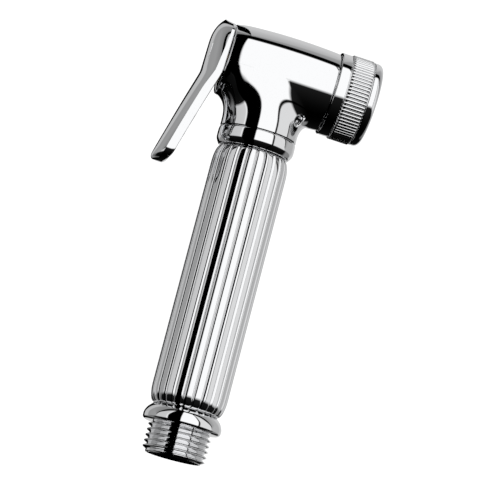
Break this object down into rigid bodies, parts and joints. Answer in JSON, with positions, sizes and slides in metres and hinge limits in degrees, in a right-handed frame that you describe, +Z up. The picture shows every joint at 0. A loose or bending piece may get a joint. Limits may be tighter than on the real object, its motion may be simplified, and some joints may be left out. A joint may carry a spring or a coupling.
{
  "type": "handheld bidet shower",
  "caption": "Chromed handheld bidet shower with a fluted handle, tee-shaped head, rocking lever valve, knurled screw-on spray nozzle and threaded hose inlet.",
  "frame": {"origin": "centre of the inlet end face, on the handle's axis", "axes": "+Z up the handle from the inlet, +X towards the spray side, lever on the -X side, +Y completes the right-handed frame"},
  "size_m": [0.065, 0.0286, 0.143],
  "materials": {
    "chrome": "polished",
    "chrome_handle": "polished",
    "chrome_lever": "polished",
    "chrome_nozzle": "polished",
    "brass": "turned",
    "steel": "bright",
    "seal_rubber": "matt",
    "spray_plastic": "satin"
  },
  "bodies": {
    "root": {"head_body": "chrome", "neck_ring": "chrome", "handle_sleeve": "chrome_handle", "water_tube": "brass", "hose_connector": "chrome", "upper_tube_seal": "seal_rubber", "lower_tube_seal": "seal_rubber", "lock_screw": "steel", "valve_gland": "brass", "gland_seal": "seal_rubber", "inner_stem_seal": "seal_rubber", "outer_stem_seal": "seal_rubber", "return_spring": "steel"},
    "stem": {"valve_stem": "brass", "valve_washer": "seal_rubber", "washer_screw": "steel"},
    "lever": {"lever": "chrome_lever", "lever_pin": "steel"},
    "spray_face": {"spray_plate": "spray_plastic", "nozzle_seal": "seal_rubber"},
    "nozzle_cap": {"nozzle_cap": "chrome_nozzle"}
  },
  "joints": [
    {"name": "stem_slide", "type": "slide", "parent": "root", "child": "stem", "axis": [-0.9993, 0, 0.0384], "range_m": [0, 0.00153], "stiffness_N_per_m": 800, "springref_m": -0.003, "deforming": ["return_spring"]},
    {"name": "lever_press", "type": "hinge", "parent": "stem", "child": "lever", "pos_m": [-0.01859, 0, 0.13031], "axis": [0, -1, 0], "range_deg": [0, 16]},
    {"name": "nozzle_slide", "type": "slide", "parent": "root", "child": "spray_face", "axis": [0.9993, 0, -0.0384], "range_m": [0, 0.005]},
    {"name": "nozzle_turn", "type": "hinge", "parent": "spray_face", "child": "nozzle_cap", "pos_m": [0.02598, 0, 0.1286], "axis": [0.9993, 0, -0.0384], "range_deg": [0, 1800]}
  ],
  "couplings": [
    {"joint": "lever_press", "follows": "stem_slide", "rad_per_m": 181.82},
    {"joint": "nozzle_slide", "follows": "nozzle_turn", "m_per_rad": 0.00015915}
  ]
}
